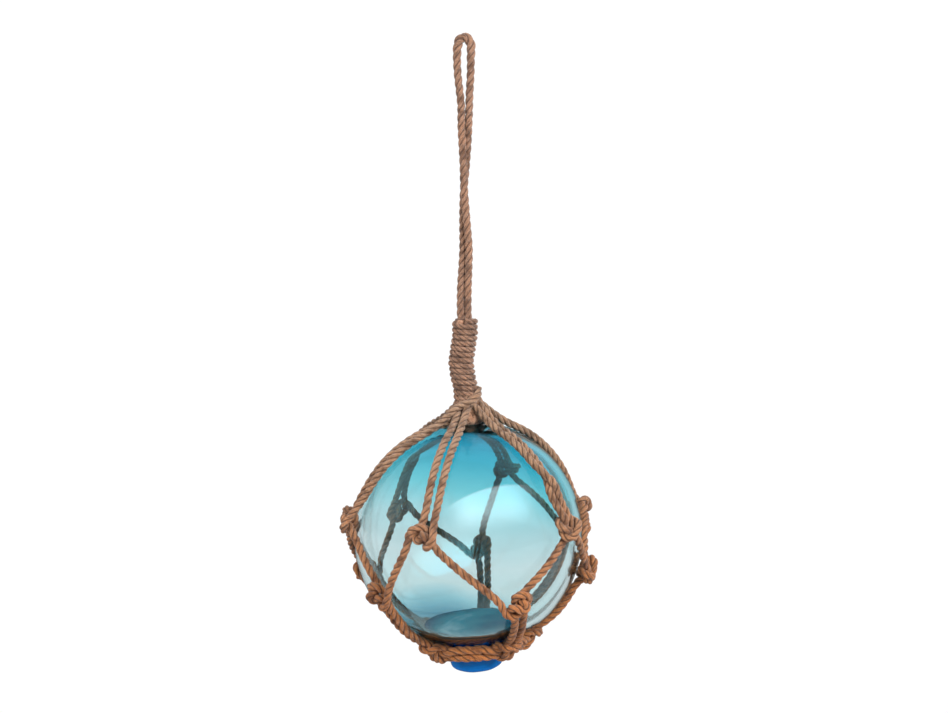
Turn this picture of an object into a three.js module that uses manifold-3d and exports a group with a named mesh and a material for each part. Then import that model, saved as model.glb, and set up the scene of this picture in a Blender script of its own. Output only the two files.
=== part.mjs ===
// A glass float ball in a rope net, hung by the eye of its doubled cord.
//
// Millimetres, +Z up, the front is -Y and +X is on the right. The origin is the
// inside top of the eye, where a hook or a nail carries the float. Azimuths are
// measured from the front round towards +X, latitudes from the float's equator.

import * as THREE from 'three';
import { mergeVertices } from 'three/addons/utils/BufferGeometryUtils.js';
import Module from 'manifold-3d';

const wasm = await Module();
wasm.setup();

// ---- Driving dimensions -----------------------------------------------------------

const GAP = 0.3; // left between pieces that touch
const FLOAT_RADIUS = 50;
const FLOAT_CENTRE = new THREE.Vector3(1.4, 0, -211.5);
const FLATTENING = 2.2; // how far the ball's underside falls short of the sphere
const SEAL_RADIUS = 10.7;
const SEAL_DEPTH = 59.8; // from the float's centre to the seal's flat underside
const SEAL_ROUNDING = 2.2;
const LEAN = 4.5; // of the float's axis, in degrees, seal end towards LEAN_AZIMUTH
const LEAN_AZIMUTH = 55;

const TWINE_RADIUS = 1.6; // the net and the hanging cord
const PAIR_OFFSET = TWINE_RADIUS + GAP * 0.7; // each strand of a pair, from its middle
const KNOT_LIFT = 2.7; // how far a knot pushes its strands off the glass
const KNOT_REACH = 9; // strands come down to the glass this far from a knot
const HITCH_REACH = 17; // a pair comes down to the glass this far above the ring
const LONGEST_STRETCH = 15; // of a strand over the glass between two points
const KNOT_WIDTH = 11;
const KNOT_DEPTH = 6.4;
const KNOT_RISE = 1.2; // the wraps stand this much further out than the strands in them
const KNOT_WRAP = 3.8; // height of one of a knot's three wraps
const WRAP_GROOVE = 0.8; // how deep the grooves lie, as a share of the ridges' radius

const RING_TWINE_RADIUS = 1.9;
const RING_SIDES = 6; // of each turn
const RING_SEAM = 2.4; // thickness where the two turns press together
const RING_TURNS = [
  { radius: 22.5, height: -45.7 },
  { radius: 21.2, height: -49.3 },
];

// Each strand's way round the ring, outwards and upwards from the ring's middle.
const HITCH_TURN = [[-4.7, -1.6], [-3.2, -5], [0.1, -6], [2.7, -4.6], [4.4, -1.4], [4.8, 2], [5, 4.8]];
// The bight of the cord, which lies over both strands: along the ring and outwards.
const HITCH_BIGHT = [[-5.1, 4.5], [-4.2, 6.5], [-1.6, 7.5], [1.6, 7.5], [4.2, 6.5], [5.1, 4.5]];

// Each knot's azimuth and latitude, from the left front round to the right.
const UPPER_KNOTS = [[-73, 12], [-20, 13], [53, 12], [109, 9], [157, 24], [218, 2]];
const LOWER_KNOTS = [[-46, -19], [23, -20], [84, -16], [114, -5], [174, -21], [249, -25]];
// Where each net cord is hitched to the ring, as azimuths about the ring's own axis.
const HITCHES = [-46, 37, 88, 134, 172, 250];
// Where each upper pair meets the stem.
const STEM_AZIMUTHS = [-78, -20, 40, 101, 152, 208];
const LEG_LEAVES = 58; // the latitude where a leg leaves the glass and runs on to the stem
const STEM_RADIUS = 6.6;
const STEM_HEIGHT = 56.6;

const WHIPPING_TOP = -117;
const WHIPPING_BASE = -153.4;
const WHIPPING_RADIUS = 5.2;
const WHIPPING_TURNS = 15;
const WHIPPING_RIDGE = 0.45; // how far each turn stands out
const FLARE_RADIUS = 7.4; // where the gathered strands spread below the whipping
const FLARE_DEPTH = 2.6;
// How far the whipping leans to the side, evenly spaced from its top to its base.
const WHIPPING_BOW = [0.1, 0.2, -0.7, -1.6, -0.8, 0.6, 0.9];

// The doubled hanging cord from the whipping up to the eye: the height of each
// station, its middle's x, how far each leg lies from the middle, and the angle
// that the two legs have twisted round each other.
const CORD_STATIONS = [
  [-116.7, -0.1, 1.8, 185],
  [-110, -0.2, 1.8, 178],
  [-103, -0.1, 1.8, 170],
  [-95, 0.3, 1.75, 154],
  [-86, 0.6, 1.75, 140],
  [-76, 0.2, 1.75, 122],
  [-68, -0.1, 1.75, 106],
  [-60, -0.2, 1.75, 90],
  [-51, 0.1, 1.75, 72],
  [-42, 0.2, 1.75, 46],
  [-34, 0.2, 1.8, 14],
  [-26, 0.3, 2.0, 0],
  [-20, 0.1, 2.5, 0],
  [-13, -0.1, 2.8, 0],
  [-6, -0.2, 2.9, 0],
];
// The bend at the top of the eye, from the first leg over to the second.
const EYE_BEND = [[2.75, -1.6], [1.7, 0.9], [0, 1.9], [-1.8, 0.9], [-2.8, -1.6]];

const CHORD_RISE = 0.35; // keeps the straight stretches of a strand clear of the glass
const UP = new THREE.Vector3(0, 0, 1);

// ---- Materials --------------------------------------------------------------------

const glass = () => new THREE.MeshStandardMaterial({ color: 0x6fc3d6, roughness: 0.05, metalness: 0 });
const twine = () => new THREE.MeshStandardMaterial({ color: 0xa06f4c, roughness: 0.9, metalness: 0 });
const paleTwine = () => new THREE.MeshStandardMaterial({ color: 0x9b7a62, roughness: 0.9, metalness: 0 });

// ---- Solids -----------------------------------------------------------------------

/** The closed solid of a geometry, for joining and cutting. */
function toSolid(geometry) {
  const bare = geometry.clone();
  bare.deleteAttribute('normal');
  bare.deleteAttribute('uv');
  const merged = mergeVertices(bare, 1e-4);
  const vertProperties = new Float32Array(merged.attributes.position.array);
  const triVerts = new Uint32Array(merged.index.array);
  return new wasm.Manifold(new wasm.Mesh({ numProp: 3, vertProperties, triVerts }));
}

function toGeometry(solid) {
  const mesh = solid.getMesh();
  const geometry = new THREE.BufferGeometry();
  geometry.setAttribute('position', new THREE.BufferAttribute(mesh.vertProperties, 3));
  geometry.setIndex(new THREE.BufferAttribute(mesh.triVerts, 1));
  geometry.computeVertexNormals();
  return geometry;
}

function joined(solids) {
  return solids.reduce((all, solid) => all.add(solid));
}

/** A smooth line through points, walked from point to point instead of by length. */
class Route extends THREE.CatmullRomCurve3 {
  getUtoTmapping(share) {
    return share;
  }
}

/** A round strand along a route, with a straight stretch or more between two points. */
function strand(points, radius, sides, stretches) {
  const section = new THREE.Shape();
  section.absarc(0, 0, radius, 0, 2 * Math.PI);
  return new THREE.ExtrudeGeometry(section, {
    steps: (points.length - 1) * stretches,
    curveSegments: sides / 2,
    extrudePath: new Route(points, false, 'centripetal'),
  });
}

/** A lathe about the Z axis. Its profile runs from the bottom of the axis to the top. */
function turned(profile, segments) {
  return new THREE.LatheGeometry(profile, segments).rotateX(Math.PI / 2);
}

/**
 * Wraps of twine side by side round a bundle, as one oval lump with a ridge for each
 * wrap. It is centred on a point. Its half sizes go across and out, and the bundle
 * passes through it at right angles to both, tilted a little round the way out.
 */
function wraps(count, height, centre, across, out, halfAcross, halfOut, tilt) {
  const profile = [new THREE.Vector2(0, (-count * height) / 2)];
  for (let turn = 0; turn < count; turn += 1) {
    const start = (turn - count / 2) * height;
    profile.push(new THREE.Vector2(WRAP_GROOVE, start));
    profile.push(new THREE.Vector2(1, start + height / 2));
  }
  profile.push(new THREE.Vector2(WRAP_GROOVE, (count * height) / 2));
  profile.push(new THREE.Vector2(0, (count * height) / 2));
  const along = new THREE.Vector3().crossVectors(across, out);
  const oval = new THREE.Matrix4().makeScale(halfAcross, halfOut, 1);
  const tilted = new THREE.Matrix4().makeRotationY(THREE.MathUtils.degToRad(tilt));
  const placed = new THREE.Matrix4().makeBasis(across, out, along).setPosition(centre);
  return toSolid(turned(profile, 8).applyMatrix4(placed.multiply(tilted).multiply(oval)));
}

// ---- Places about the float -------------------------------------------------------

function direction(azimuth, latitude) {
  const a = THREE.MathUtils.degToRad(azimuth);
  const l = THREE.MathUtils.degToRad(latitude);
  return new THREE.Vector3(Math.cos(l) * Math.sin(a), -Math.cos(l) * Math.cos(a), Math.sin(l));
}

/** The direction to the right of a place on the float, as seen from outside. */
function rightOf(outward) {
  return new THREE.Vector3().crossVectors(UP, outward).normalize();
}

/** Where a strand lies on the glass, lifted off it and moved to one side. */
function onGlass(outward, lift = 0, side = 0) {
  const distance = FLOAT_RADIUS + GAP + TWINE_RADIUS + CHORD_RISE + lift;
  return outward.clone().multiplyScalar(distance).addScaledVector(rightOf(outward), side);
}

/** The direction a given way, in mm over the glass, from one direction towards another. */
function towards(from, to, distance) {
  const turn = new THREE.Quaternion().setFromUnitVectors(from, to);
  const share = distance / (from.angleTo(to) * FLOAT_RADIUS);
  return from.clone().applyQuaternion(new THREE.Quaternion().slerp(turn, share));
}

/** Leans a piece from the float's own upright frame to how it hangs. */
const LEANING = new THREE.Matrix4().makeRotationAxis(
  direction(LEAN_AZIMUTH + 90, 0),
  THREE.MathUtils.degToRad(-LEAN),
);

// ---- The glass float --------------------------------------------------------------

/** The ball's radius at a latitude: a sphere that flattens a little near the seal. */
function ballRadius(latitude) {
  return FLOAT_RADIUS - FLATTENING * THREE.MathUtils.smoothstep(-latitude, 42, 66);
}

/** The float's outline from the middle of the seal up to the crown. */
function floatProfile() {
  const profile = [new THREE.Vector2(0, -SEAL_DEPTH)];
  const rim = SEAL_RADIUS - SEAL_ROUNDING;
  for (let step = 0; step <= 3; step += 1) {
    const turn = (step / 3) * (Math.PI / 2);
    profile.push(new THREE.Vector2(
      rim + SEAL_ROUNDING * Math.sin(turn),
      -SEAL_DEPTH + SEAL_ROUNDING - SEAL_ROUNDING * Math.cos(turn),
    ));
  }
  const foot = -75;
  const crown = 90;
  const arcs = 14;
  for (let step = 0; step < arcs; step += 1) {
    const latitude = foot + ((crown - foot) * step) / arcs;
    const radius = ballRadius(latitude);
    const angle = THREE.MathUtils.degToRad(latitude);
    profile.push(new THREE.Vector2(radius * Math.cos(angle), radius * Math.sin(angle)));
  }
  profile.push(new THREE.Vector2(0, FLOAT_RADIUS));
  return profile;
}

function glassFloat() {
  return turned(floatProfile(), 26).applyMatrix4(LEANING);
}

// ---- The bottom ring --------------------------------------------------------------

/**
 * The ring's two turns, pressed together, as one lathe. The outline goes round the
 * outside of the lower turn and then of the upper, from where they meet.
 */
function ring() {
  const [upper, lower] = RING_TURNS.map((turn) => new THREE.Vector2(turn.radius, turn.height));
  const upwards = upper.clone().sub(lower).angle();
  const half = upper.distanceTo(lower) / 2;
  const radius = RING_TWINE_RADIUS;
  const opening = Math.acos(half / Math.hypot(half, RING_SEAM / 2));
  const profile = [];
  for (const [turn, middle] of [[lower, upwards + Math.PI], [upper, upwards]]) {
    for (let step = 0; step < RING_SIDES; step += 1) {
      const share = (step + 0.5) / RING_SIDES - 0.5;
      const angle = middle + share * 2 * (Math.PI - opening);
      profile.push(new THREE.Vector2(radius * Math.cos(angle), radius * Math.sin(angle)).add(turn));
    }
  }
  return turned([...profile, profile[0].clone()], 24).applyMatrix4(LEANING);
}

// ---- The net ----------------------------------------------------------------------

/** A place by the ring: along it, outwards and upwards from the middle of its turns. */
function byRing(azimuth, along, out, up) {
  const radius = (RING_TURNS[0].radius + RING_TURNS[1].radius) / 2;
  const height = (RING_TURNS[0].height + RING_TURNS[1].height) / 2;
  const outward = direction(azimuth, 0);
  const point = outward.clone().multiplyScalar(radius + out).setZ(height + up);
  return point.addScaledVector(rightOf(outward), along).applyMatrix4(LEANING);
}

/** The stretch of a strand from under the ring, out round it and up to its lower knot. */
function pairPoints(cord, side) {
  const knotted = direction(...LOWER_KNOTS[cord]);
  const foot = byRing(HITCHES[cord], 0, 0, 0).normalize();
  const length = knotted.angleTo(foot) * FLOAT_RADIUS;
  const stretches = Math.ceil((length - HITCH_REACH - KNOT_REACH) / LONGEST_STRETCH);
  const points = HITCH_TURN.map(([out, up]) => byRing(HITCHES[cord], side, out, up));
  for (let step = 0; step <= stretches; step += 1) {
    const way = THREE.MathUtils.lerp(HITCH_REACH, length - KNOT_REACH, step / stretches);
    points.push(onGlass(towards(foot, knotted, way), 0.4, side));
  }
  return points;
}

/** The stretch of a strand over the glass from its lower knot to an upper one. */
function meshPoints(lower, upper, side) {
  const length = lower.angleTo(upper) * FLOAT_RADIUS;
  return [
    onGlass(lower, KNOT_LIFT, side),
    onGlass(towards(lower, upper, KNOT_REACH), 0.6, side * 0.4),
    onGlass(towards(lower, upper, length / 2)),
    onGlass(towards(lower, upper, length - KNOT_REACH), 0.6, -side * 0.4),
    onGlass(upper, KNOT_LIFT, -side),
  ];
}

/** The stretch of a strand from an upper knot to the stem, along the glass and off it. */
function legPoints(upper, side) {
  const [azimuth, latitude] = UPPER_KNOTS[upper];
  const length = THREE.MathUtils.degToRad(LEG_LEAVES - latitude) * FLOAT_RADIUS;
  const stretches = Math.ceil((length - KNOT_REACH) / LONGEST_STRETCH);
  const points = [];
  for (let step = 0; step <= stretches; step += 1) {
    const share = THREE.MathUtils.lerp(KNOT_REACH / length, 1, step / stretches);
    const outward = direction(
      THREE.MathUtils.lerp(azimuth, STEM_AZIMUTHS[upper], share * share),
      THREE.MathUtils.lerp(latitude, LEG_LEAVES, share),
    );
    points.push(onGlass(outward, step === 0 ? 0.6 : 0, side));
  }
  const stem = direction(STEM_AZIMUTHS[upper], 0);
  const end = stem.clone().multiplyScalar(STEM_RADIUS).setZ(STEM_HEIGHT);
  return [...points, end.addScaledVector(rightOf(stem), side)];
}

/** One strand of a net cord, from the ring to the stem; way is -1 left or +1 right. */
function netStrand(cord, way, radius = TWINE_RADIUS) {
  const upper = (cord + (way > 0 ? 1 : 0)) % UPPER_KNOTS.length;
  const side = way * PAIR_OFFSET;
  const points = [
    ...pairPoints(cord, side),
    ...meshPoints(direction(...LOWER_KNOTS[cord]), direction(...UPPER_KNOTS[upper]), side),
    ...legPoints(upper, -side),
  ];
  return toSolid(strand(points, radius, 6, 1));
}

/** An overhand knot in two strands: three wraps round them, tilted by the lay. */
function knot(outward, tilt) {
  const centre = onGlass(outward, KNOT_LIFT + KNOT_RISE);
  return wraps(3, KNOT_WRAP, centre, rightOf(outward), outward, KNOT_WIDTH / 2, KNOT_DEPTH / 2, tilt);
}

/** The doubled cord, clear of the strand beside it in its upper knot and of the stem. */
function netCord(cord, grownWhipping) {
  const before = (cord + LOWER_KNOTS.length - 1) % LOWER_KNOTS.length;
  const bight = HITCH_BIGHT.map(([along, out]) => byRing(HITCHES[cord], along, out, 0.6));
  const body = joined([
    netStrand(cord, -1),
    netStrand(cord, 1),
    toSolid(strand(bight, TWINE_RADIUS, 6, 1)),
    knot(direction(...LOWER_KNOTS[cord]), cord % 2 ? 16 : -16),
    knot(direction(...UPPER_KNOTS[cord]), cord % 2 ? -14 : 14),
  ]);
  return body.subtract(netStrand(before, 1, TWINE_RADIUS + GAP)).subtract(grownWhipping);
}

// ---- The whipping -----------------------------------------------------------------

function whippingProfile(grow) {
  const height = WHIPPING_TOP - WHIPPING_BASE;
  const profile = [
    new THREE.Vector2(0, -FLARE_DEPTH - grow),
    new THREE.Vector2(FLARE_RADIUS + grow, -FLARE_DEPTH - grow),
    new THREE.Vector2(WHIPPING_RADIUS + grow, 0),
  ];
  for (let turn = 0; turn < WHIPPING_TURNS; turn += 1) {
    const middle = ((turn + 0.5) * height) / WHIPPING_TURNS;
    const groove = ((turn + 1) * height) / WHIPPING_TURNS;
    profile.push(new THREE.Vector2(WHIPPING_RADIUS + WHIPPING_RIDGE + grow, middle));
    profile.push(new THREE.Vector2(WHIPPING_RADIUS + grow, groove));
  }
  profile.push(new THREE.Vector2(0, height + grow));
  return profile;
}

/** The whipping about the float's centre, bowed to the side as it was wound. */
function whipping(grow = 0) {
  const geometry = turned(whippingProfile(grow), 10);
  const stations = WHIPPING_BOW.map((x, index) => new THREE.Vector3(x, 0, index));
  const bow = new THREE.CatmullRomCurve3(stations);
  const height = WHIPPING_TOP - WHIPPING_BASE;
  const position = geometry.attributes.position;
  for (let index = 0; index < position.count; index += 1) {
    const share = THREE.MathUtils.clamp(1 - position.getZ(index) / height, 0, 1);
    position.setX(index, position.getX(index) + bow.getPoint(share).x);
  }
  const toFloat = new THREE.Vector3(0, 0, WHIPPING_BASE).sub(FLOAT_CENTRE);
  return geometry.translate(toFloat.x, toFloat.y, toFloat.z);
}

// ---- The hanging cord -------------------------------------------------------------

/** One leg of the cord from the whipping up to the eye; way is +1 or -1. */
function cordLeg(way) {
  return CORD_STATIONS.map(([height, middle, offset, twist]) => {
    const angle = THREE.MathUtils.degToRad(twist);
    const across = way * offset;
    return new THREE.Vector3(middle + across * Math.cos(angle), across * Math.sin(angle), height);
  });
}

function hangingCord() {
  const bend = EYE_BEND.map(([x, z]) => new THREE.Vector3(x, 0, z));
  const points = [...cordLeg(1), ...bend, ...cordLeg(-1).reverse()];
  return strand(points, TWINE_RADIUS, 8, 1);
}

// ---- The object -------------------------------------------------------------------

function named(name, geometry, material) {
  const mesh = new THREE.Mesh(geometry, material);
  mesh.name = name;
  return mesh;
}

const float = new THREE.Group();
float.position.copy(FLOAT_CENTRE);
float.add(named('glass_float', glassFloat(), glass()));
float.add(named('bottom_ring', ring(), twine()));
float.add(named('whipping', whipping(), paleTwine()));

const grownWhipping = toSolid(whipping(GAP));
for (let cord = 0; cord < LOWER_KNOTS.length; cord += 1) {
  float.add(named(`net_cord_${cord + 1}`, toGeometry(netCord(cord, grownWhipping)), twine()));
}

const part = new THREE.Group();
part.add(float);
part.add(named('hanging_cord', hangingCord(), paleTwine()));

export default part;
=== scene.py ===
# A glass float ball in a knotted rope net, hung by the eye of its doubled cord.
#
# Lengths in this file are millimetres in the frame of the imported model: +Z up, the front
# is -Y, +X on the right, and the origin is the inside top of the eye. Meshes are made in
# metres, which is what the frame is in. Azimuths run from the front round towards +X.

import bpy
import numpy as np
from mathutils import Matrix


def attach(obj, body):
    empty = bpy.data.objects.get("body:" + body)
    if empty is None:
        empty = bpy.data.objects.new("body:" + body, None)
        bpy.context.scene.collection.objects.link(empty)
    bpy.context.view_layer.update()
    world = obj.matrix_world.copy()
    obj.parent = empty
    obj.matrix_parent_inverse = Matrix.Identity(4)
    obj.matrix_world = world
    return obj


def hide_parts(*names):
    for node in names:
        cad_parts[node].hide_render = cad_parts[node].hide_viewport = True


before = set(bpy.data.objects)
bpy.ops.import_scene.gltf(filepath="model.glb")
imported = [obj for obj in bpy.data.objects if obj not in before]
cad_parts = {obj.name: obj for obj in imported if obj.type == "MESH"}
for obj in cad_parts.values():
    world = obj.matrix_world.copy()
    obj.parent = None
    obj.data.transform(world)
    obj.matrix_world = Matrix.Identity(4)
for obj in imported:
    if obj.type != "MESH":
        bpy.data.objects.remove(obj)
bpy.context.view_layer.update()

# ---- Camera ---------------------------------------------------------------------------
# It stands 0.68 m in front of the ball and a little above it, looking slightly down.

CAMERA_PLACE = (4.03, -675.41, -37.96)
CAMERA_DOWN = 8.0  # degrees below the horizon
CAMERA_LENS = 60.0

camera_data = bpy.data.cameras.new("camera")
camera_data.lens = CAMERA_LENS
camera_data.sensor_width = 36.0
camera_data.clip_end = 20.0
camera = bpy.data.objects.new("camera", camera_data)
camera.location = [x / 1000 for x in CAMERA_PLACE]
camera.rotation_euler = (np.radians(90 - CAMERA_DOWN), 0, 0)
bpy.context.scene.collection.objects.link(camera)
bpy.context.scene.camera = camera

# ---- The hanging cord -----------------------------------------------------------------
# Three-ply jute twine, doubled: one leg goes up from the whipping, round the eye at the
# top and back down, and the two legs twist half a turn round each other on the way.

TWINE_RADIUS = 1.72
TWINE_PITCH = 10.8  # length of one full turn of the three plies
PLY_RADIUS = 0.60  # as a share of the twine's radius
PLY_DISTANCE = 0.40  # of a ply's middle from the twine's
PLY_SIDES = 8
TWINE_STEP = 0.42  # between two rings of the mesh
TONE_HEIGHTS = (-0.165, -0.235)  # in metres, where a net twine's tone starts and ends

# Height, middle's x, half the legs' spacing, and the twist of the pair in degrees.
CORD_STATIONS = [
    (-116.7, -0.1, 1.55, 185), (-110, -0.2, 1.55, 178), (-103, -0.1, 1.55, 170),
    (-95, 0.3, 1.55, 154), (-86, 0.6, 1.6, 140), (-76, 0.2, 1.6, 122),
    (-68, -0.1, 1.75, 106), (-60, -0.2, 1.75, 90), (-51, 0.1, 1.75, 72),
    (-42, 0.2, 1.6, 46), (-34, 0.2, 1.6, 18), (-26, 0.3, 1.7, 0),
    (-20, 0.1, 2.1, 0), (-13, -0.1, 2.7, 0), (-6, -0.2, 2.9, 0),
]
EYE_BEND = [(2.75, -1.0), (1.8, 1.4), (0, 2.4), (-1.9, 1.4), (-2.8, -1.0)]  # x and height
EYE_SWELL = 0.22  # how much thicker the untwisted twine is at the top of the eye


def smooth_route(points, step):
    """A smooth line through points, as rings a step apart: centripetal Catmull-Rom, where
    each stretch blends the lines through its four nearest points, with knot spacing by the
    square root of distance, then walked by length."""
    p = np.asarray(points, float)
    p = np.vstack([2 * p[0] - p[1], p, 2 * p[-1] - p[-2]])
    gap = np.sqrt(np.linalg.norm(np.diff(p, axis=0), axis=1)).clip(1e-6)
    t1, t2, t3 = gap[:-2], gap[:-2] + gap[1:-1], gap[:-2] + gap[1:-1] + gap[2:]
    p0, p1, p2, p3 = p[:-3], p[1:-2], p[2:-1], p[3:]
    share = np.linspace(0, 1, 13)[:-1, None, None]
    t1, t2, t3 = t1[:, None], t2[:, None], t3[:, None]
    t = t1 + share * (t2 - t1)
    a1 = p0 + t / t1 * (p1 - p0)
    a2 = p1 + (t - t1) / (t2 - t1) * (p2 - p1)
    a3 = p2 + (t - t2) / (t3 - t2) * (p3 - p2)
    b1 = a1 + t / t2 * (a2 - a1)
    b2 = a2 + (t - t1) / (t3 - t1) * (a3 - a2)
    dense = b1 + (t - t1) / (t2 - t1) * (b2 - b1)
    dense = np.vstack([dense.transpose(1, 0, 2).reshape(-1, 3), p[-2]])
    return walked(dense, step)


def walked(line, step):
    """The same line with its points a step apart."""
    way = np.concatenate([[0], np.cumsum(np.linalg.norm(np.diff(line, axis=0), axis=1))])
    stops = np.linspace(0, way[-1], max(2, round(way[-1] / step) + 1))
    return np.stack([np.interp(stops, way, line[:, k]) for k in range(3)], axis=1)


def unit(vectors):
    return vectors / np.linalg.norm(vectors, axis=-1, keepdims=True)


def frames_along(line):
    """Tangent and two crosswise directions at each point, carried along without spin: any
    crosswise direction is taken first, then turned by the summed angle by which it spins
    against its neighbour carried over the bend."""
    tangent = unit(np.gradient(line, axis=0))
    axis = np.eye(3)[np.argmin(np.abs(tangent), axis=1)]
    first = unit(np.cross(tangent, axis))
    second = np.cross(tangent, first)
    here, there = tangent[:-1], tangent[1:]
    carried = first[:-1] - (
        (first[:-1] * there).sum(1) / (1 + (here * there).sum(1))
    )[:, None] * (here + there)
    spin = np.arctan2((carried * second[1:]).sum(1), (carried * first[1:]).sum(1))
    angle = np.concatenate([[0], np.cumsum(spin)])[:, None]
    across = first * np.cos(angle) + second * np.sin(angle)
    return tangent, across, np.cross(tangent, across)


def laid_twine(line, radius, pitch=TWINE_PITCH, start=0.0):
    """Vertices, faces and UVs of three-ply twine along a line. The section is three round
    plies that touch, and it turns once in each pitch. U is the length along the twine in
    centimetres, and V counts the plies round it."""
    tangent, across, up = frames_along(line)
    way = np.concatenate([[0], np.cumsum(np.linalg.norm(np.diff(line, axis=0), axis=1))])
    around = 3 * PLY_SIDES
    ply = np.arange(around) // PLY_SIDES * (2 * np.pi / 3)
    half = np.pi / 3 + np.arcsin(PLY_DISTANCE / PLY_RADIUS * np.sin(np.pi / 3))
    arc = half * (2 * (np.arange(around) % PLY_SIDES) / PLY_SIDES - 1)
    section = PLY_DISTANCE * np.exp(1j * ply) + PLY_RADIUS * np.exp(1j * (ply + arc))
    radii = np.broadcast_to(radius, way.shape)
    turned = section * np.exp(1j * (start + 2 * np.pi * way / pitch))[:, None] * radii[:, None]
    rings = (
        line[:, None]
        + turned.real[..., None] * across[:, None]
        + turned.imag[..., None] * up[:, None]
    )
    return tube(rings, way / 10, np.arange(around + 1) / PLY_SIDES)


def tube(rings, along, round_it):
    """Vertices, faces and UVs of rings of points joined into a closed tube, with a fan of
    faces on each end. A face takes its U from along and its V from round_it."""
    count, around = rings.shape[:2]
    i, j = np.meshgrid(np.arange(count - 1), np.arange(around), indexing="ij")
    here, beside = i * around + j, i * around + (j + 1) % around
    faces = np.stack([here, beside, beside + around, here + around], -1).reshape(-1, 4)
    uv = np.stack(
        [
            np.stack([along[i], round_it[j]], -1),
            np.stack([along[i], round_it[j + 1]], -1),
            np.stack([along[i + 1], round_it[j + 1]], -1),
            np.stack([along[i + 1], round_it[j]], -1),
        ],
        axis=2,
    ).reshape(-1, 4, 2)
    ends = np.vstack([rings[0].mean(0), rings[-1].mean(0)])
    low, high = count * around, count * around + 1
    j = np.arange(around)
    last = (count - 1) * around
    caps = np.vstack(
        [
            np.stack([np.full(around, low), (j + 1) % around, j], 1),
            np.stack([np.full(around, high), last + j, last + (j + 1) % around], 1),
        ]
    )
    cap_uv = np.zeros((2 * around, 3, 2))
    cap_uv[:around, :, 0] = along[0]
    cap_uv[around:, :, 0] = along[-1]
    return np.vstack([rings.reshape(-1, 3), ends]), (faces, caps), (uv, cap_uv)


def made_piece(name, parts, material):
    """One mesh object from (vertices, faces, UVs) parts in millimetres."""
    verts, corners, totals, uvs, base = [], [], [], [], 0
    for points, face_sets, uv_sets in parts:
        verts.append(points)
        for faces, uv in zip(face_sets, uv_sets):
            corners.append((faces + base).ravel())
            totals.append(np.full(len(faces), faces.shape[1]))
            uvs.append(uv.reshape(-1, 2))
        base += len(points)
    verts, corners = np.vstack(verts) / 1000, np.concatenate(corners)
    totals, uvs = np.concatenate(totals), np.vstack(uvs)
    mesh = bpy.data.meshes.new(name)
    mesh.vertices.add(len(verts))
    mesh.vertices.foreach_set("co", verts.ravel())
    mesh.loops.add(len(corners))
    mesh.loops.foreach_set("vertex_index", corners)
    mesh.polygons.add(len(totals))
    mesh.polygons.foreach_set("loop_start", np.concatenate([[0], np.cumsum(totals)[:-1]]))
    mesh.polygons.foreach_set("loop_total", totals)
    mesh.update(calc_edges=True)
    mesh.uv_layers.new(name="UVMap").data.foreach_set("uv", uvs.ravel())
    mesh.shade_smooth()
    mesh.materials.append(material)
    piece = bpy.data.objects.new(name, mesh)
    bpy.context.scene.collection.objects.link(piece)
    return piece


def linear(colour):
    """Linear RGBA of an sRGB hex colour."""
    srgb = np.array([int(colour[k : k + 2], 16) for k in (1, 3, 5)]) / 255
    low = srgb <= 0.04045
    return (*np.where(low, srgb / 12.92, ((srgb + 0.055) / 1.055) ** 2.4).tolist(), 1.0)


def node(tree, kind, settings=(), values=(), links=(), stops=()):
    """A shader node: its settings by name, its socket values by name or number, what is
    linked to its sockets, and a colour ramp's stops as (place, colour)."""
    made = tree.nodes.new(kind)
    if stops:
        made.color_ramp.elements.remove(made.color_ramp.elements[1])
        made.color_ramp.elements[0].position = stops[0][0]
        made.color_ramp.elements[0].color = linear(stops[0][1])
    for place, colour in stops[1:]:
        made.color_ramp.elements.new(place).color = linear(colour)
    for name, value in dict(settings).items():
        setattr(made, name, value)
    for name, value in dict(values).items():
        made.inputs[name].default_value = value
    for name, source in dict(links).items():
        tree.links.new(source, made.inputs[name])
    return made


def new_material(name):
    material = bpy.data.materials.new(name)
    material.use_nodes = True
    material.node_tree.nodes.clear()
    return material, material.node_tree


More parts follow.
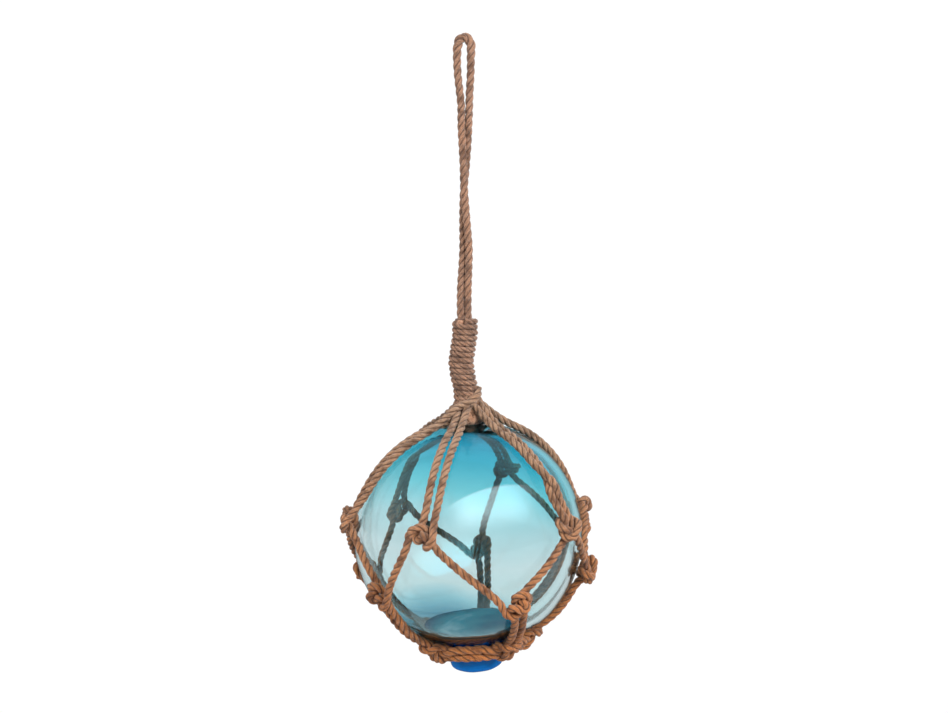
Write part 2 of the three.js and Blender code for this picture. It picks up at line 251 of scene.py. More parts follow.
def twine_material(name, upper, lower, crevice_shade):
    """Jute twine. Painted shade, a darker colour where the plies meet, reads as the lay of the
    twine. Streaks along the plies, about 2 mm long and 0.15 mm wide, read as its fibres.
    Patches about 5 mm across, and a tone that goes from upper to lower down the net, read as age."""
    material, tree = new_material(name)
    uv = node(tree, "ShaderNodeUVMap", {"uv_map": "UVMap"}).outputs["UV"]
    place = node(tree, "ShaderNodeTexCoord").outputs["Object"]
    height = node(tree, "ShaderNodeSeparateXYZ", links={"Vector": place}).outputs["Z"]
    plies = node(tree, "ShaderNodeSeparateXYZ", links={"Vector": uv}).outputs["Y"]
    within = node(tree, "ShaderNodeMath", {"operation": "FRACT"}, links={0: plies}).outputs[0]
    off = node(
        tree, "ShaderNodeMath", {"operation": "SUBTRACT"}, {1: 0.5}, {0: within}
    ).outputs[0]
    edge = node(tree, "ShaderNodeMath", {"operation": "ABSOLUTE"}, links={0: off}).outputs[0]
    # This mask paints shade: it darkens each ply towards its edges, where the plies meet.
    groove_shade = node(
        tree,
        "ShaderNodeMapRange",
        {"interpolation_type": "SMOOTHSTEP"},
        {"From Min": 0.3, "From Max": 0.5, "To Max": 0.9},
        {"Value": edge},
    ).outputs["Result"]
    stretched = node(
        tree,
        "ShaderNodeMapping",
        values={"Scale": (2.4, 11.0, 1.0), "Rotation": (0, 0, 0.2)},
        links={"Vector": uv},
    ).outputs["Vector"]
    fibre = node(
        tree,
        "ShaderNodeTexNoise",
        {"noise_dimensions": "2D"},
        {"Scale": 2.0, "Detail": 5.0, "Roughness": 0.65},
        {"Vector": stretched},
    ).outputs["Fac"]
    patches = node(
        tree, "ShaderNodeTexNoise", values={"Scale": 210.0, "Detail": 3.0}, links={"Vector": place}
    ).outputs["Fac"]
    down = node(
        tree,
        "ShaderNodeMapRange",
        values={"From Min": TONE_HEIGHTS[0], "From Max": TONE_HEIGHTS[1]},
        links={"Value": height},
    ).outputs["Result"]
    aged = node(
        tree,
        "ShaderNodeMix",
        {"data_type": "RGBA"},
        {"A": linear(upper), "B": linear(lower)},
        {"Factor": down},
    ).outputs["Result"]
    patchy = node(
        tree,
        "ShaderNodeValToRGB",
        links={"Fac": patches},
        stops=[(0.34, "#b3a69a"), (0.52, "#ffffff"), (0.64, "#fff6ee")],
    ).outputs["Color"]
    streaky = node(
        tree,
        "ShaderNodeValToRGB",
        links={"Fac": fibre},
        stops=[(0.36, "#76685c"), (0.5, "#e8e4dc"), (0.64, "#ffffff")],
    ).outputs["Color"]
    for layer in (patchy, streaky):
        aged = node(
            tree,
            "ShaderNodeMix",
            {"data_type": "RGBA", "blend_type": "MULTIPLY"},
            {"Factor": 1.0},
            {"A": aged, "B": layer},
        ).outputs["Result"]
    mixed = node(
        tree,
        "ShaderNodeMix",
        {"data_type": "RGBA"},
        {"B": linear(crevice_shade)},
        {"Factor": groove_shade, "A": aged},
    ).outputs["Result"]
    bump = node(
        tree,
        "ShaderNodeBump",
        values={"Strength": 0.9, "Distance": 0.0005},
        links={"Height": fibre},
    ).outputs["Normal"]
    surface = node(
        tree,
        "ShaderNodeBsdfPrincipled",
        values={
            "Roughness": 0.85,
            "Specular IOR Level": 0.25,
            "Sheen Weight": 0.15,
            "Sheen Roughness": 0.6,
        },
        links={"Base Color": mixed, "Normal": bump},
    ).outputs["BSDF"]
    node(tree, "ShaderNodeOutputMaterial", links={"Surface": surface})
    return material


def dressed(piece, slot, *nodes):
    """The piece rides on the part's one body and stands for its CAD nodes. The slot is not used.
    """
    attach(piece, "root")
    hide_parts(*nodes)
    return piece


def cord_leg(way):
    height, middle, half, twist = np.array(CORD_STATIONS, float).T
    angle = np.radians(twist)
    return np.stack(
        [middle + way * half * np.cos(angle), way * half * np.sin(angle), height], axis=1
    )


# The last colour is painted shade where the plies meet.
weathered_twine = twine_material("laid jute twine, weathered", "#ac846c", "#a37d64", "#462b1e")
eye_bend = np.array([(x, 0, z) for x, z in EYE_BEND])
cord_route = smooth_route(
    np.vstack([cord_leg(1), eye_bend, cord_leg(-1)[::-1]]), TWINE_STEP
)
swell = 1 + EYE_SWELL * np.exp(-((cord_route[:, 2] - EYE_BEND[2][1]) / 7.0) ** 2)
hanging_cord = made_piece(
    "hanging_twine", [laid_twine(cord_route, TWINE_RADIUS * swell)], weathered_twine
)
dressed(hanging_cord, "hanging_twine", "hanging_cord")

# ---- The glass float ------------------------------------------------------------------
# A hollow ball of blown sea-blue glass, thick at the bottom, and the button of deep blue
# glass that sealed its blowing hole, fused on underneath.

FLOAT_CENTRE = np.array([1.4, 0, -211.5])
FLOAT_RADIUS = 50.0
FLATTENING = 1.2  # how far the underside falls short of the sphere
WALL = 2.6
LEAN = 4.5  # degrees that the float leans in its net
LEAN_AZIMUTH = 55.0
SEAL_DEPTH = 59.8  # from the float's centre to the seal's underside
# Radius and height of the seal, from its underside up the collar to the ball.
SEAL_PROFILE = [
    (0, -SEAL_DEPTH), (5, -SEAL_DEPTH), (8.6, -59.4), (10.2, -58.2), (10.8, -56.2),
    (10.8, -53.0), (12.6, -50.0), (15.6, -47.4), (9, -46.6), (0, -46.6),
]
SEAL_SIZE = 1.07  # of the pressed seal across, against that profile
POOL_LATITUDE = -61  # where the pooled glass meets the wall
# The tint, which paints shade, goes by a level: metres to the right and metres up, each times its
# factor.
PAINTED_SHADE_ASIDE, PAINTED_SHADE_UP = 2.5, 19.0
PAINTED_SHADE_WAVES = 0.16  # how much the waves add to the level
PAINTED_SHADE_SPAN = (-4.94, -2.94)  # the level at the bottom and at the top of the ball


def direction(azimuth, latitude):
    a, l = np.radians(azimuth), np.radians(latitude)
    return np.stack([np.cos(l) * np.sin(a), -np.cos(l) * np.cos(a), np.sin(l) + 0 * a], -1)


def turned_about(points, axis, degrees):
    """The points turned about an axis through the origin (Rodrigues' formula)."""
    a = np.radians(degrees)
    along = (points @ axis)[..., None] * axis
    return along + (points - along) * np.cos(a) + np.cross(axis, points) * np.sin(a)


def leaned(points):
    """From the float's own upright frame to how it hangs in the net."""
    return turned_about(points, direction(LEAN_AZIMUTH + 90, 0), -LEAN)


def smoothstep(value, low, high):
    share = np.clip((value - low) / (high - low), 0, 1)
    return share * share * (3 - 2 * share)


def ball_radius(latitude):
    """A sphere that flattens a little near the seal."""
    return FLOAT_RADIUS - FLATTENING * smoothstep(-latitude, 42, 66)


def lathe(radii, heights, sides):
    """A profile turned about the Z axis, from the bottom of the axis to the top."""
    angle = np.linspace(0, 2 * np.pi, sides, endpoint=False)
    rings = np.stack(
        [
            radii[1:-1, None] * np.cos(angle),
            radii[1:-1, None] * np.sin(angle),
            np.broadcast_to(heights[1:-1, None], (len(radii) - 2, sides)),
        ],
        -1,
    )
    points, face_sets, uv_sets = tube(rings, heights[1:-1] / 10, np.arange(sides + 1) / sides)
    points[-2:] = [(0, 0, heights[0]), (0, 0, heights[-1])]
    return points, face_sets, uv_sets


def inside_out(part):
    points, face_sets, uv_sets = part
    return points, tuple(f[:, ::-1] for f in face_sets), tuple(u[:, ::-1] for u in uv_sets)


def glass_material(name, colour, density, tint, through, gloss=0.5):
    """Glass: a smooth skin of tint that shows a window as a glint, and a body whose colour
    and density for each metre make it deepen where it is thick."""
    material, tree = new_material(name)
    surface = node(
        tree,
        "ShaderNodeBsdfPrincipled",
        values={
            "Base Color": linear(tint),
            "Roughness": 0.0,
            "IOR": 1.5,
            "Transmission Weight": through,
            "Specular IOR Level": gloss,
        },
    ).outputs["BSDF"]
    volume = node(
        tree, "ShaderNodeVolumeAbsorption", values={"Color": linear(colour), "Density": density}
    ).outputs["Volume"]
    node(tree, "ShaderNodeOutputMaterial", links={"Surface": surface, "Volume": volume})
    return material


def sea_glass_material():
    """The blown glass, with shade painted into its tint: deep cyan towards the top right, painted
    shade for the darker look of the curved walls there, and dark at the thick bottom, partly for
    the thick glass and partly painted shade for the darker things it reflects there, and pale
    over the middle, where it reads as a thin clear wall. Waves 40 mm long keep the change of
    colour from being a straight line."""
    material = glass_material("blown sea-blue glass", "#3cb8cc", 26.0, "#ffffff", 1.0, 0.34)
    tree = material.node_tree
    place = node(tree, "ShaderNodeTexCoord").outputs["Object"]
    rise = node(
        tree,
        "ShaderNodeVectorMath",
        {"operation": "DOT_PRODUCT"},
        {1: (PAINTED_SHADE_ASIDE, 0, PAINTED_SHADE_UP)},
        {0: place},
    ).outputs["Value"]
    wavy = node(
        tree, "ShaderNodeTexNoise", values={"Scale": 26.0, "Detail": 2.0}, links={"Vector": place}
    ).outputs["Fac"]
    height = node(
        tree, "ShaderNodeMath", {"operation": "MULTIPLY_ADD"}, {1: PAINTED_SHADE_WAVES}, {0: wavy, 2: rise}
    ).outputs[0]
    share = node(
        tree,
        "ShaderNodeMapRange",
        values={"From Min": PAINTED_SHADE_SPAN[0], "From Max": PAINTED_SHADE_SPAN[1]},
        links={"Value": height},
    ).outputs["Result"]
    # The ramp paints shade: dark blue at the bottom, pale over the middle and deep cyan to the top
    # right.
    colour = node(
        tree,
        "ShaderNodeValToRGB",
        links={"Fac": share},
        stops=[
            (0.0, "#2a6584"), (0.08, "#5c9cb2"), (0.13, "#a9d6e0"), (0.18, "#e4f3f3"),
            (0.5, "#eaf4f5"), (0.62, "#cdeef2"), (0.76, "#8fdfe9"), (0.9, "#66cfe2"),
            (1.0, "#4fb0cc"),
        ],
    ).outputs["Color"]
    tree.links.new(colour, tree.nodes["Principled BSDF"].inputs["Base Color"])
    return material


latitudes = np.linspace(-90, 90, 121)
outer_radii = ball_radius(latitudes)
angles = np.radians(latitudes)
outer = lathe(outer_radii * np.cos(angles), outer_radii * np.sin(angles), 160)
thickening = 1.2 * smoothstep(latitudes, 40, 85) + 3.0 * smoothstep(-latitudes, 50, 85)
inner_radii = outer_radii - WALL - thickening
inner = inside_out(lathe(inner_radii * np.cos(angles), inner_radii * np.sin(angles), 160))
shell = [(leaned(p) + FLOAT_CENTRE, f, u) for p, f, u in (outer, inner)]
sea_glass = sea_glass_material()
dressed(made_piece("glass_ball", shell, sea_glass), "float_glass", "glass_float")

# The seal was pressed on while soft, so it isn't quite round.
seal_profile = np.array(SEAL_PROFILE, float)
seal_line = smooth_route(np.c_[seal_profile, np.zeros(len(seal_profile))], 0.4)
seal_line[0, 0] = seal_line[-1, 0] = 0
seal_points, seal_faces, seal_uv = lathe(seal_line[:, 0].clip(0), seal_line[:, 1], 72)
around = np.arctan2(seal_points[:, 1], seal_points[:, 0])
lobes = 0.018 * np.sin(3 * around + 0.6)
dents = 0.012 * np.sin(7 * around + 0.5 * seal_points[:, 2])
pressed = SEAL_SIZE + lobes + dents
seal_points[:, :2] *= pressed[:, None]
blue_glass = glass_material("deep blue sealing glass", "#30a8e8", 50.0, "#0a74c8", 0.35)
seal_part = (leaned(seal_points) + FLOAT_CENTRE, seal_faces, seal_uv)
dressed(made_piece("glass_seal", [seal_part], blue_glass), "float_glass", "glass_float")

# Thick glass at the bottom inside, drawn as a dull body with streaks that are 45 mm long
# and 2.4 mm high, which reads as the dark band above the ring. Its dark blues are partly the
# thick glass and partly painted shade, for the darker things that the glass reflects there.
pool_latitudes = np.radians(np.linspace(-90, POOL_LATITUDE, 24))
pool_radii = np.interp(pool_latitudes, angles, inner_radii) - 0.05
pool_top = pool_radii[-1] * np.sin(pool_latitudes[-1]) + np.array([0.1, 0.5, 0.8, 0.9])
pool_top_radii = pool_radii[-1] * np.cos(pool_latitudes[-1]) * np.array([0.96, 0.8, 0.4, 0])
pool = lathe(
    np.concatenate([pool_radii * np.cos(pool_latitudes), pool_top_radii]).clip(0),
    np.concatenate([pool_radii * np.sin(pool_latitudes), pool_top]),
    96,
)
# An opaque body with no gloss: its dark colour is partly thick glass and partly painted shade.
pooled_glass_and_shade = glass_material("pooled sea-blue glass and painted shade", "#2a86a8", 40.0, "#0d3f58", 0.0, 0.0)
pool_tree = pooled_glass_and_shade.node_tree
place = node(pool_tree, "ShaderNodeTexCoord").outputs["Object"]
level = node(
    pool_tree, "ShaderNodeMapping", values={"Scale": (14.0, 14.0, 260.0)}, links={"Vector": place}
).outputs["Vector"]
streaks = node(
    pool_tree, "ShaderNodeTexNoise", values={"Scale": 1.6, "Detail": 3.0}, links={"Vector": level}
).outputs["Fac"]
blues = node(
    pool_tree,
    "ShaderNodeValToRGB",
    links={"Fac": streaks},
    stops=[(0.3, "#1d4c7c"), (0.48, "#2b8aa2"), (0.6, "#48a8bc"), (0.7, "#c4e8f4")],
).outputs["Color"]
pool_tree.links.new(blues, pool_tree.nodes["Principled BSDF"].inputs["Base Color"])
pool_part = (leaned(pool[0]) + FLOAT_CENTRE, *pool[1:])
dressed(made_piece("glass_pool_and_painted_shade", [pool_part], pooled_glass_and_shade), "float_glass", "glass_float")

# ---- The net, drawn tight -------------------------------------------------------------
# Six doubled cords of jute twine hang the ball from the whipping down to a ring of two
# turns. Each cord is hitched to the ring at its bight, and its two strands are tied
# together in an overhand knot, part, and are tied again with their neighbours.

RING_TWINE_RADIUS = 1.95
RING_TWINE_PITCH = 12.0
RING_TURNS = [(22.5, -45.7), (21.2, -49.3)]  # radius and height of each turn's middle
UPPER_KNOTS = [(-73, 12), (-20, 13), (53, 12), (109, 9), (157, 24), (218, 2)]
LOWER_KNOTS = [(-46, -19), (23, -20), (84, -16), (114, -5), (174, -21), (249, -25)]
UPPER_TIES = [(1, -1), (1, 1), (-1, 1), (1, -1), (-1, 1), (1, 1)]  # hand and half turns
LOWER_TIES = [(1, 1), (-1, -1), (-1, 1), (1, 1), (1, 1), (-1, -1)]
HITCHES = [-46, 37, 88, 134, 172, 250]
STEM_AZIMUTHS = [-62, -18, 44, 116, 152, 208]
PAIR_GAPS = [1.6, 3.2, 1.6, 1.6, 2.6, 1.6]  # half the spacing of each upper pair
PAIR_TURNS = [0, 0, 1, 0, 0, 1]  # half turns of each upper pair round itself
CORDS = len(LOWER_KNOTS)
LEG_LEAVES = 58.0  # the latitude where a pair leaves the glass for the stem
NET_STEP = 1.25  # between two points of a strand while the net is drawn tight
SPAN = 4  # points each way that an open stretch is straightened over
PRESS = 0.0006  # share of its distance that a strand is drawn in towards the ball
PRESSED = 1.5  # radius that twine is pressed to where it crosses itself
RING_PRESSED = 1.75
KNOT_HEIGHT = 3.6  # of a knot's middle above the glass
GATHERED = 57.0  # above this height a strand is held in the whipping
PULLS = 900  # rounds of drawing the net tight

# One strand's way from its pair down the front of the ring, under it, up behind it and
# over it to the bight, which lies over both strands: along the ring, outwards and up.
HITCH = [
    (1.7, 6.6, 10.5), (1.8, 5.4, 5.4), (2.2, 5.2, 0.6), (2.6, 3.6, -4.4), (2.9, 0.2, -6.2),
    (3.2, -3.8, -4.4), (3.7, -5.2, 0.4), (4.3, -3.6, 5.0), (4.8, 0.4, 7.0),
    (4.6, 4.8, 7.2), (2.6, 8.4, 5.8), (0.8, 8.9, 5.2),
]
# The first pair's way round the front of the stem and up into the whipping.
WRAPPED_END = [
    (-9.5, -4.5, 54.2), (-5.2, -6.4, 56.0), (0.2, -6.9, 58.6), (3.6, -4.6, 61.2),
    (3.4, -1.0, 63.5),
]
PLAIN_END = [(8.0, 54.8), (5.6, 57.2), (4.0, 59.5), (3.4, 62.5)]  # radius and height


def right_of(outward):
    return unit(np.cross([0, 0, 1.0], outward))


def by_ring(azimuth, along, out, up):
    """A place by the ring: along it, outwards and upwards from the middle of its turns."""
    radius, height = np.mean(RING_TURNS, axis=0)
    outward = direction(azimuth, 0)
    point = outward * (radius + out) + right_of(outward) * along
    point[2] = height + up
    return leaned(point)


def over_glass(start, end, lift, count):
    """Points over the ball from one direction to another, at a height above the glass:
    the two directions blended by the sines of the angles to each."""
    angle = np.arccos(np.clip(start @ end, -1, 1))
    share = np.linspace(0, 1, count)[:, None]
    blend = np.sin((1 - share) * angle) * start + np.sin(share * angle) * end
    return blend / np.sin(angle) * (FLOAT_RADIUS + lift)


def loose_knot(centre, up, hand, half_turns):
    """Two strands side by side in a loose overhand knot, from the foot to the top: the
    curve goes sideways t^3-3t, upwards t^5-10t and outwards 4t^2-t^4, and the strands lie
    each side of it on a ribbon that turns evenly by the half turns between its ends."""
    up = unit(up - centre * (up @ centre))
    side = np.cross(up, centre)
    t = np.linspace(-2, 2, 40)
    curve = (
        np.outer(hand * 3.4 * (t**3 - 3 * t), side)
        + np.outer(0.75 * (t**5 - 10 * t), up)
        + np.outer(3.5 - 2.0 * (t**4 - 4 * t**2) + FLOAT_RADIUS + TWINE_RADIUS, centre)
    )
    tangent, across, out = frames_along(curve)
    start = side - tangent[0] * (side @ tangent[0])
    end = side - tangent[-1] * (side @ tangent[-1])
    first = np.arctan2(start @ out[0], start @ across[0])
    last = np.arctan2(end @ out[-1], end @ across[-1]) + np.pi * half_turns
    turn = last - first
    turn -= 2 * np.pi * np.trunc(turn / (1.9 * np.pi))
    angle = (first + turn * np.linspace(0, 1, len(t)))[:, None]
    ribbon = (across * np.cos(angle) + out * np.sin(angle)) * PRESSED
    return curve - ribbon, curve + ribbon


def leg(upper, way):
    """A strand's way from its upper knot over the glass, up the stem and into the
    whipping; way is -1 or +1 for the strand that starts on the left or the right."""
    knot, azimuth = direction(*map(float, UPPER_KNOTS[upper])), float(STEM_AZIMUTHS[upper])
    line = over_glass(knot, direction(azimuth, LEG_LEAVES), 1.8, 12)[3:]
    sideways = unit(np.cross(np.gradient(line, axis=0), line))
    turn = np.pi * PAIR_TURNS[upper] * np.linspace(0, 1, len(line))[:, None]
    gap = PAIR_GAPS[upper]
    line = line + sideways * way * gap * np.cos(turn)
    if way > 0:
        line = line + unit(line) * 1.8 * gap * np.sin(turn)
    way *= (-1) ** PAIR_TURNS[upper]
    if upper == 0:
        return np.vstack([line, np.array(WRAPPED_END) + np.array([0.9, 0, 1.35]) * way])
    stem = direction(azimuth, 0)
    radius, height = np.array(PLAIN_END).T
    end = np.outer(radius, stem) + np.outer(height, [0, 0, 1]) + right_of(stem) * 1.5 * way
    return np.vstack([line, end])


def pairs_near(points, reach):
    """Every two points nearer to each other than a reach, found by sorting the points
    into cells of that size and looking in each cell and its neighbours."""
    cell = np.floor((points - points.min(0)) / reach).astype(np.int64) + 1
    sizes = cell.max(0) + 2
    key = (cell[:, 0] * sizes[1] + cell[:, 1]) * sizes[2] + cell[:, 2]
    order = np.argsort(key, kind="stable")
    key = key[order]
    near = np.arange(-1, 2)
    offsets = (near[:, None, None] * sizes[1] + near[:, None]) * sizes[2] + near
    first, second = [], []
    for offset in offsets[offsets >= 0]:
        low = np.searchsorted(key, key + offset, "left")
        if offset == 0:
            low = np.arange(len(key)) + 1
        count = (np.searchsorted(key, key + offset, "right") - low).clip(0)
        here = np.repeat(np.arange(len(key)), count)
        there = np.repeat(low - np.cumsum(count) + count, count) + np.arange(count.sum())
        first.append(order[here])
        second.append(order[there])
    first, second = np.concatenate(first), np.concatenate(second)
    close = ((points[first] - points[second]) ** 2).sum(1) < reach**2
    return first[close], second[close]


def drawn_tight(strands, loops, knot_of, places, pulls):
    """The strands and the closed loops, drawn tight. Each pull moves every point towards
    the middle of its two neighbours, and a loop's points back to where they were laid.
    Points of crossing twines that are nearer than the twines are thick are pushed apart,
    each knot is brought back to its place, and nothing goes into the glass."""
    lines = [*strands, *loops]
    sizes = np.array([len(line) for line in lines])
    points = np.vstack(lines)
    total = len(points)
    line_of = np.repeat(np.arange(len(lines)), sizes)
    start = (np.cumsum(sizes) - sizes)[line_of]
    size = sizes[line_of]
    number = np.arange(total) - start
    loop = line_of >= len(strands)
    before = np.where(loop, (number - 1) % size, (number - 1).clip(0)) + start
    after = np.where(loop, (number + 1) % size, np.minimum(number + 1, size - 1)) + start
    radius = np.where(loop, RING_PRESSED, PRESSED)
    clearance = np.where(loop, RING_TWINE_RADIUS, TWINE_RADIUS)
    held = ~loop & (points[:, 2] > GATHERED)
    laid = points.copy()
    press = np.where(loop, 0, PRESS)
    pull = np.where(loop, 0.25, 0.4)[:, None] * ~held[:, None]
    homing = np.where(loop, 0.15, 0)[:, None]
    near = int(np.ceil(3.6 * PRESSED / NET_STEP))
    within = np.array([knot_of == knot for knot in range(len(places))], float)
    hold = []
    for mask in within:
        inside = np.nonzero(mask)[0]
        steps = np.abs(np.arange(total)[:, None] - inside).min(1)
        same = np.isin(line_of, line_of[inside])
        hold.append(0.5 * (1 - steps / 16).clip(0) * (same & ~held))
    within, hold = within / within.sum(1, keepdims=True), np.array(hold).T
    far_before = np.where(loop, before, (number - SPAN).clip(0) + start)
    far_after = np.where(loop, after, np.minimum(number + SPAN, size - 1) + start)
    ends = np.stack([knot_of[far_before], knot_of, knot_of[far_after]])
    open_span = (ends == -1).all(0) & ~loop & ~held & (number > SPAN)
    open_span = (open_span & (number < size - SPAN))[:, None]
    for turn in range(pulls):
        middle = 0.5 * (points[before] + points[after])
        points = points + pull * (middle - points) + homing * (laid - points)
        if turn % 3 == 0:
            middle = 0.5 * (points[far_before] + points[far_after])
            points = points + 0.4 * open_span * (middle - points)
        if turn % 12 == 0:
            a, b = pairs_near(points, 4.4)
            steps = np.abs(number[a] - number[b])
            steps = np.where(loop[a], np.minimum(steps, size[a] - steps), steps)
            touch = (line_of[a] != line_of[b]) | (steps >= near)
            touch &= ~(held[a] & held[b])
            a, b = a[touch], b[touch]
        for _ in range(2):
            between = points[a] - points[b]
            length = np.linalg.norm(between, axis=1).clip(1e-6)
            push = (0.25 * (radius[a] + radius[b] - length).clip(0) / length)[:, None] * between
            moved = [
                np.bincount(a, push[:, k], total) - np.bincount(b, push[:, k], total)
                for k in range(3)
            ]
            points = points + np.stack(moved, axis=1) * ~held[:, None]
        points = points + hold @ (places - within @ points)
        away = np.linalg.norm(points, axis=1)
        upright = turned_about(points, direction(LEAN_AZIMUTH + 90, 0), LEAN)
        latitude = np.degrees(np.arcsin((upright[:, 2] / away).clip(-1, 1)))
        rise = (ball_radius(latitude) + clearance) / away
        points = points * np.where(held, 1, np.maximum(rise, 1 - press))[:, None]
    return np.split(points, np.cumsum(sizes)[:-1])


def unit_directions(places):
    return direction(*np.array(places, float).T)


upper, lower = unit_directions(UPPER_KNOTS), unit_directions(LOWER_KNOTS)
feet = unit(np.array([by_ring(azimuth, 0, 0, 0) for azimuth in HITCHES]))
stem_tops = unit_directions([(azimuth, LEG_LEAVES) for azimuth in STEM_AZIMUTHS])
lower_ties = [
    loose_knot(lower[k], unit(upper[k] + upper[(k + 1) % CORDS]) - feet[k], *LOWER_TIES[k])
    for k in range(CORDS)
]
upper_ties = [
    loose_knot(upper[k], stem_tops[k] - unit(lower[k - 1] + lower[k]), *UPPER_TIES[k])
    for k in range(CORDS)
]
strands, knot_of = [], []
for k in range(CORDS):
    line, label = [], []
    for way in (-1, 1):  # the strand that leaves the lower knot on the left, then right
        above = (k + (way > 0)) % CORDS
        lower_swap, upper_swap = LOWER_TIES[k][1] % 2, UPPER_TIES[above][1] % 2
        low = lower_ties[k][int(way > 0) ^ lower_swap]
        high = upper_ties[above][int(way < 0)]
        foot_way = way * (-1) ** lower_swap
        hitch = np.array([by_ring(HITCHES[k], foot_way * a, o, u) for a, o, u in HITCH])
        stretches = [
            (hitch[::-1], -2),
            (over_glass(unit(hitch[0]), unit(low[0]), 3.0, 9)[2:-2], -1),
            (low, CORDS + k),
            (over_glass(unit(low[-1]), unit(high[0]), 2.0, 9)[2:-2], -1),
            (high, above),
            (leg(above, -way * (-1) ** upper_swap), -1),
        ]
        points = np.vstack([part for part, _ in stretches])
        names = np.concatenate([np.full(len(part), name) for part, name in stretches])
        line.append(points[::way])
        label.append(names[::way])
    line, label = np.vstack(line), np.concatenate(label)
    way = np.concatenate([[0], np.cumsum(np.linalg.norm(np.diff(line, axis=0), axis=1))])
    strand = walked(line, NET_STEP)
    stops = np.linspace(0, way[-1], len(strand))
    strands.append(strand)
    knot_of.append(label[np.searchsorted(way, stops).clip(0, len(label) - 1)])
loops = []
for radius, height in RING_TURNS:
    angle = np.linspace(0, 2 * np.pi, int(2 * np.pi * radius / NET_STEP), endpoint=False)
    circle = np.stack([radius * np.sin(angle), -radius * np.cos(angle), height + 0 * angle], 1)
    loops.append(leaned(circle))
knot_of = np.concatenate([*knot_of, *[np.full(len(loop), -3) for loop in loops]])
places = np.vstack([upper, lower]) * (FLOAT_RADIUS + KNOT_HEIGHT)
tight = drawn_tight(strands, loops, knot_of, places, PULLS)


def evened(line, passes, closed=False):
    """The line with each point moved a quarter of the way to each neighbour, a few times."""
    for _ in range(passes):
        if closed:
            line = 0.5 * line + 0.25 * (np.roll(line, 1, 0) + np.roll(line, -1, 0))
        else:
            inner = 0.5 * line[1:-1] + 0.25 * (line[:-2] + line[2:])
            line = np.vstack([line[0], inner, line[-1]])
    return line


# ---- The bottom ring ------------------------------------------------------------------
# Two turns of a slightly thicker jute twine lie under the ball, pressed together by the
# six cords that are hitched round both.

# The last colour is painted shade where the plies meet.
brown_twine = twine_material("laid jute twine, brown", "#b08e74", "#b9753e", "#40230f")
ring_parts = []
for loop in tight[CORDS:]:
    loop = evened(loop, 2, closed=True)
    loop = smooth_route(np.vstack([loop, loop[:3]]), TWINE_STEP) + FLOAT_CENTRE
    ring_parts.append(laid_twine(loop, RING_TWINE_RADIUS, RING_TWINE_PITCH))
dressed(made_piece("ring_twine", ring_parts, brown_twine), "net_twine", "bottom_ring")

# ---- The net cords --------------------------------------------------------------------
# Two strands of three-ply jute twine in each cord, the same twine as the hanging cord's,
# browner down by the ball. Each is one length, bent double round the ring.

for k in range(CORDS):
    route = smooth_route(evened(tight[k], 2), TWINE_STEP) + FLOAT_CENTRE
    piece = made_piece(f"net_twine_{k + 1}", [laid_twine(route, TWINE_RADIUS)], brown_twine)
    dressed(piece, "net_twine", f"net_cord_{k + 1}")

# ---- The whipping ---------------------------------------------------------------------
# One length of thinner jute twine, wound tight in fifteen turns round the gathered
# strands above the ball. Its core stands for the strands that it hides.

WHIPPING_TOP = -117.0
WHIPPING_BASE = -153.4
WHIPPING_RADIUS = 4.4
WHIPPING_TURNS = 15
WHIPPING_TWINE = 1.25
WHIPPING_PITCH = 8.0
WHIPPING_BOW = [0.1, 0.2, -0.7, -1.6, -0.8, 0.6, 0.9]  # sideways, from the top to the base
CORE_FOOT = [4.6, 5.4, 6.2, 7.2, 7.6, 6.6, 4.0]  # radii where the strands spread out
CORE_FOOT_SHARES = (1.06, 1.12, 1.17, 1.19)  # of the way down, past the winding

share = np.linspace(0, 1, 1200)
angle = 2 * np.pi * WHIPPING_TURNS * share
bow_shares = np.linspace(0, 1, len(WHIPPING_BOW))
winding = np.stack(
    [
        np.interp(share, bow_shares, WHIPPING_BOW) + WHIPPING_RADIUS * np.sin(angle),
        -WHIPPING_RADIUS * np.cos(angle),
        WHIPPING_TOP + (WHIPPING_BASE - WHIPPING_TOP) * share,
    ],
    axis=1,
)
core_share = np.concatenate([np.linspace(0, 1, 30), CORE_FOOT_SHARES])
core_radii = np.full(len(core_share), WHIPPING_RADIUS - 0.2)
core_radii[-len(CORE_FOOT) :] = CORE_FOOT
core_height = WHIPPING_TOP + 0.4 + (WHIPPING_BASE - 2.2 - WHIPPING_TOP) * core_share
core_points, core_faces, core_uv = lathe(
    np.concatenate([[0], core_radii[::-1], [0]]),
    np.concatenate([[core_height[-1] - 0.5], core_height[::-1], [core_height[0] + 0.5]]),
    36,
)
core_way = (WHIPPING_TOP - core_points[:, 2]) / (WHIPPING_TOP - WHIPPING_BASE)
core_points[:, 0] += np.interp(core_way, bow_shares, WHIPPING_BOW)
parts = [
    laid_twine(walked(winding, TWINE_STEP), WHIPPING_TWINE, WHIPPING_PITCH),
    (core_points, core_faces, core_uv),
]
dressed(made_piece("whipping_twine", parts, weathered_twine), "whipping_twine", "whipping")

# ---- Floor and backdrop ---------------------------------------------------------------
# A sweep of white paper: a floor well below the hung float, curving up behind it. It is
# lit evenly from its own side, so it glows.

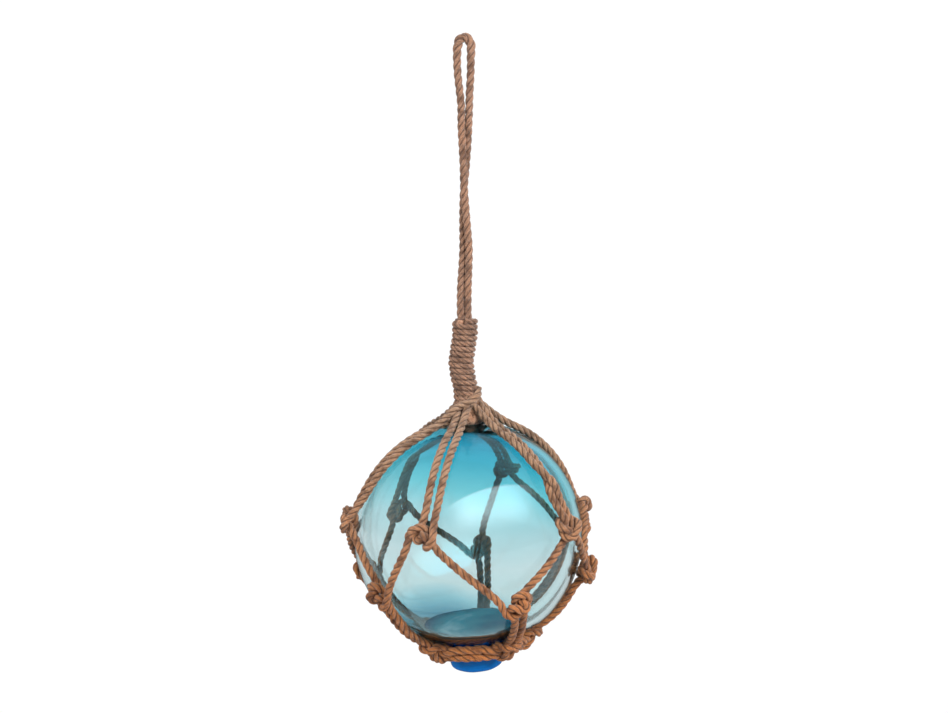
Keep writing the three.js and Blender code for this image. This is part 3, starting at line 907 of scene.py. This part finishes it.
FLOOR = -600.0
PAPER_GLOW = 1.02
SWEEP_HALF_WIDTH = 6000.0
depth = np.array([-3000, 1500, 1900, 2150, 2300, 2350, 2350], float)
rise = np.array([0, 0, 60, 260, 560, 1000, 4000], float)
sweep = np.stack(
    [
        np.stack([np.full(7, x), depth, rise + FLOOR], 1)
        for x in (-SWEEP_HALF_WIDTH, SWEEP_HALF_WIDTH)
    ],
    axis=1,
)
i = np.arange(6)
floor_faces = np.stack([2 * i, 2 * i + 1, 2 * i + 3, 2 * i + 2], 1)
paper, tree = new_material("white paper sweep")
lit = node(
    tree, "ShaderNodeEmission", values={"Color": (1, 1, 1, 1), "Strength": PAPER_GLOW}
).outputs["Emission"]
node(tree, "ShaderNodeOutputMaterial", links={"Surface": lit})
sweep_part = (sweep.reshape(-1, 3), (floor_faces,), (np.zeros((6, 4, 2)),))
backdrop = made_piece("backdrop", [sweep_part], paper)
backdrop.visible_glossy = False

# The same paper stands all round, further off, where it is only seen past the object.
round_paper = lathe(
    np.array([0, 6000, 6000, 0], float), np.array([-640, -640, 5000, 5001], float), 48
)
surround = made_piece("surround", [inside_out(round_paper)], paper)
surround.visible_diffuse = False
surround.visible_glossy = False
surround.visible_transmission = False
surround.visible_shadow = False

# ---- Light ----------------------------------------------------------------------------
# Soft studio light: a pale room that is darker below, two lamps for the twine, and a
# window that the glass reflects.

scene = bpy.context.scene
scene.view_settings.view_transform = "Standard"
world = bpy.data.worlds.new("studio")
scene.world = world
world.use_nodes = True
tree = world.node_tree
around = node(tree, "ShaderNodeTexCoord").outputs["Generated"]
split = node(tree, "ShaderNodeSeparateXYZ", links={"Vector": around})
daylight = node(
    tree,
    "ShaderNodeMapRange",
    {"interpolation_type": "SMOOTHSTEP"},
    {"From Min": -0.25, "From Max": 0.45, "To Min": 0.12, "To Max": 0.75},
    {"Value": split.outputs["Z"]},
).outputs["Result"]
tree.links.new(daylight, tree.nodes["Background"].inputs["Strength"])
tree.nodes["Background"].inputs["Color"].default_value = (1, 1, 1, 1)


def lamp(name, place, size, power):
    """A soft rectangular light at a place, turned towards the float."""
    data = bpy.data.lights.new(name, "AREA")
    data.shape = "RECTANGLE"
    data.size, data.size_y = size[0] / 1000, size[1] / 1000
    data.energy = power
    made = bpy.data.objects.new(name, data)
    made.location = [x / 1000 for x in place]
    away = np.array(place) - FLOAT_CENTRE
    made.rotation_euler = (
        np.arctan2(np.hypot(away[0], away[1]), away[2]), 0, np.arctan2(away[0], -away[1])
    )
    made.visible_glossy = False
    made.visible_transmission = False
    scene.collection.objects.link(made)


lamp("light_right", (700, -900, 500), (600, 500), 24)
lamp("light_left", (-1100, -500, 200), (600, 600), 10)

# A tall bright window ahead on the right, which only shows as a soft glint on the glass.
WINDOW_AWAY = 1100.0
WINDOW_ASIDE = (0.445, -0.685, 0.577)  # from the float
WINDOW_SIZE = (2500.0, 900.0)
WINDOW_STRENGTH = 5.2

aside = unit(np.array(WINDOW_ASIDE))
across = unit(np.cross([0, 0, 1.0], aside))
upward = np.cross(aside, across)
corners = np.array([(-1, -1), (1, -1), (1, 1), (-1, 1)], float)
sill = FLOAT_CENTRE + aside * WINDOW_AWAY
window_points = (
    sill
    + corners[:, :1] * across * WINDOW_SIZE[0] / 2
    + corners[:, 1:] * upward * WINDOW_SIZE[1] / 2
)
window_light, tree = new_material("daylight")
uv = node(tree, "ShaderNodeUVMap", {"uv_map": "UVMap"}).outputs["UV"]
split = node(tree, "ShaderNodeSeparateXYZ", links={"Vector": uv})
glow = None  # which fades towards the four edges, so that the glint has no hard outline
for axis, low, high in (("X", 0.0, 0.35), ("X", 1.0, 0.6), ("Y", 0.0, 0.6), ("Y", 1.0, 0.95)):
    side = node(
        tree,
        "ShaderNodeMapRange",
        {"interpolation_type": "SMOOTHSTEP"},
        {"From Min": low, "From Max": high},
        {"Value": split.outputs[axis]},
    ).outputs["Result"]
    if glow:
        side = node(
            tree, "ShaderNodeMath", {"operation": "MULTIPLY"}, links={0: glow, 1: side}
        ).outputs[0]
    glow = side
power = node(
    tree, "ShaderNodeMath", {"operation": "MULTIPLY"}, {1: WINDOW_STRENGTH}, {0: glow}
).outputs[0]
lit = node(tree, "ShaderNodeEmission", links={"Strength": power}).outputs["Emission"]
clear = node(tree, "ShaderNodeBsdfTransparent").outputs["BSDF"]
both = node(tree, "ShaderNodeAddShader", links={0: lit, 1: clear}).outputs["Shader"]
node(tree, "ShaderNodeOutputMaterial", links={"Surface": both})
window_part = (window_points, (np.array([[0, 1, 2, 3]]),), (corners[None] * 0.5 + 0.5,))
window = made_piece("window", [window_part], window_light)
window.visible_camera = False
window.visible_diffuse = False
window.visible_shadow = False
